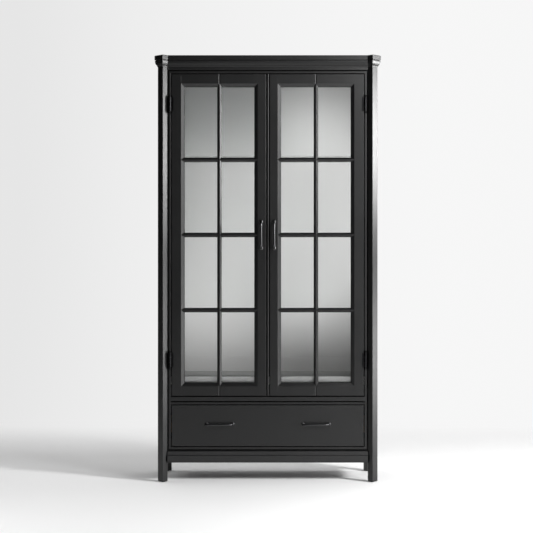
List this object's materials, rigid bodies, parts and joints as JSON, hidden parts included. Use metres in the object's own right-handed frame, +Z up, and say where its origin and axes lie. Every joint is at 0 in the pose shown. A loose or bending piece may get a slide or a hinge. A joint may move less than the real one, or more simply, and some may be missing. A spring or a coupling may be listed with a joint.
{
  "type": "display cabinet",
  "caption": "Tall free-standing display cabinet: glazed doors with glazing bars over a wide drawer, moulded cornice, diamond-set corner posts and legs.",
  "frame": {"origin": "on the floor, in the middle of the bounding box's footprint", "axes": "+Z up, the front with doors and drawer faces -Y, +X to the right of a person facing the front"},
  "size_m": [1.0296, 0.4, 1.9375],
  "materials": {
    "black_lacquer": "satin black lacquer on wood",
    "pale_interior": "pale matt lacquer",
    "birch": "clear varnished birch and birch plywood",
    "door_glass": "clear polished",
    "shelf_glass": "clear polished, eased front edge",
    "black_metal": "satin black",
    "bright_steel": "zinc plated",
    "catch_plastic": "moulded, fine grain",
    "glide_plastic": "moulded, plain"
  },
  "bodies": {
    "left_door": {"left_door_astragal": "black_lacquer", "left_door_bars": "black_lacquer", "left_door_bottom_rail": "black_lacquer", "left_door_glass": "door_glass", "left_door_glazing_beads": "black_lacquer", "left_door_handle": "black_metal", "left_door_handle_screws": "bright_steel", "left_door_hinge_leaves": "black_metal", "left_door_hinge_stile": "black_lacquer", "left_door_meeting_stile": "black_lacquer", "left_door_strike_plate": "bright_steel", "left_door_top_rail": "black_lacquer"},
    "right_door": {"right_door_bars": "black_lacquer", "right_door_bottom_rail": "black_lacquer", "right_door_glass": "door_glass", "right_door_glazing_beads": "black_lacquer", "right_door_handle": "black_metal", "right_door_handle_screws": "bright_steel", "right_door_hinge_leaves": "black_metal", "right_door_hinge_stile": "black_lacquer", "right_door_meeting_stile": "black_lacquer", "right_door_strike_plate": "bright_steel", "right_door_top_rail": "black_lacquer"},
    "drawer": {"drawer_back": "birch", "drawer_bottom": "birch", "drawer_front": "black_lacquer", "drawer_handle_screws": "bright_steel", "drawer_handles": "black_metal", "drawer_sides": "birch"},
    "cabinet": {"back_panel": "pale_interior", "back_rails": "black_lacquer", "base_moulding_front": "black_lacquer", "base_moulding_sides": "black_lacquer", "bottom_board": "black_lacquer", "compartment_floor": "pale_interior", "cornice_front": "black_lacquer", "cornice_left": "black_lacquer", "cornice_right": "black_lacquer", "door_stops": "black_lacquer", "drawer_runners": "birch", "foot_glides": "glide_plastic", "frame_bottom_rail": "black_lacquer", "frame_mid_rail": "black_lacquer", "frame_stile_left": "black_lacquer", "frame_stile_right": "black_lacquer", "frame_top_rail": "black_lacquer", "front_post_left": "black_lacquer", "front_post_right": "black_lacquer", "glass_shelf_lower": "shelf_glass", "glass_shelf_middle": "shelf_glass", "glass_shelf_upper": "shelf_glass", "hinge_frame_leaves": "black_metal", "hinge_pins": "black_metal", "magnetic_catches": "catch_plastic", "rear_post_left": "black_lacquer", "rear_post_right": "black_lacquer", "shelf_pins": "bright_steel", "side_panel_left": "black_lacquer", "side_panel_right": "black_lacquer", "top_board": "black_lacquer"}
  },
  "joints": [
    {"name": "left_door_hinge", "type": "hinge", "parent": "cabinet", "child": "left_door", "pos_m": [-0.4445, -0.17145, 1.1223], "axis": [0, 0, -1], "range_deg": [0, 150]},
    {"name": "right_door_hinge", "type": "hinge", "parent": "cabinet", "child": "right_door", "pos_m": [0.4445, -0.17145, 1.1223], "axis": [0, 0, 1], "range_deg": [0, 150]},
    {"name": "drawer_slide", "type": "slide", "parent": "cabinet", "child": "drawer", "axis": [0, -1, 0], "range_m": [0, 0.28]}
  ]
}
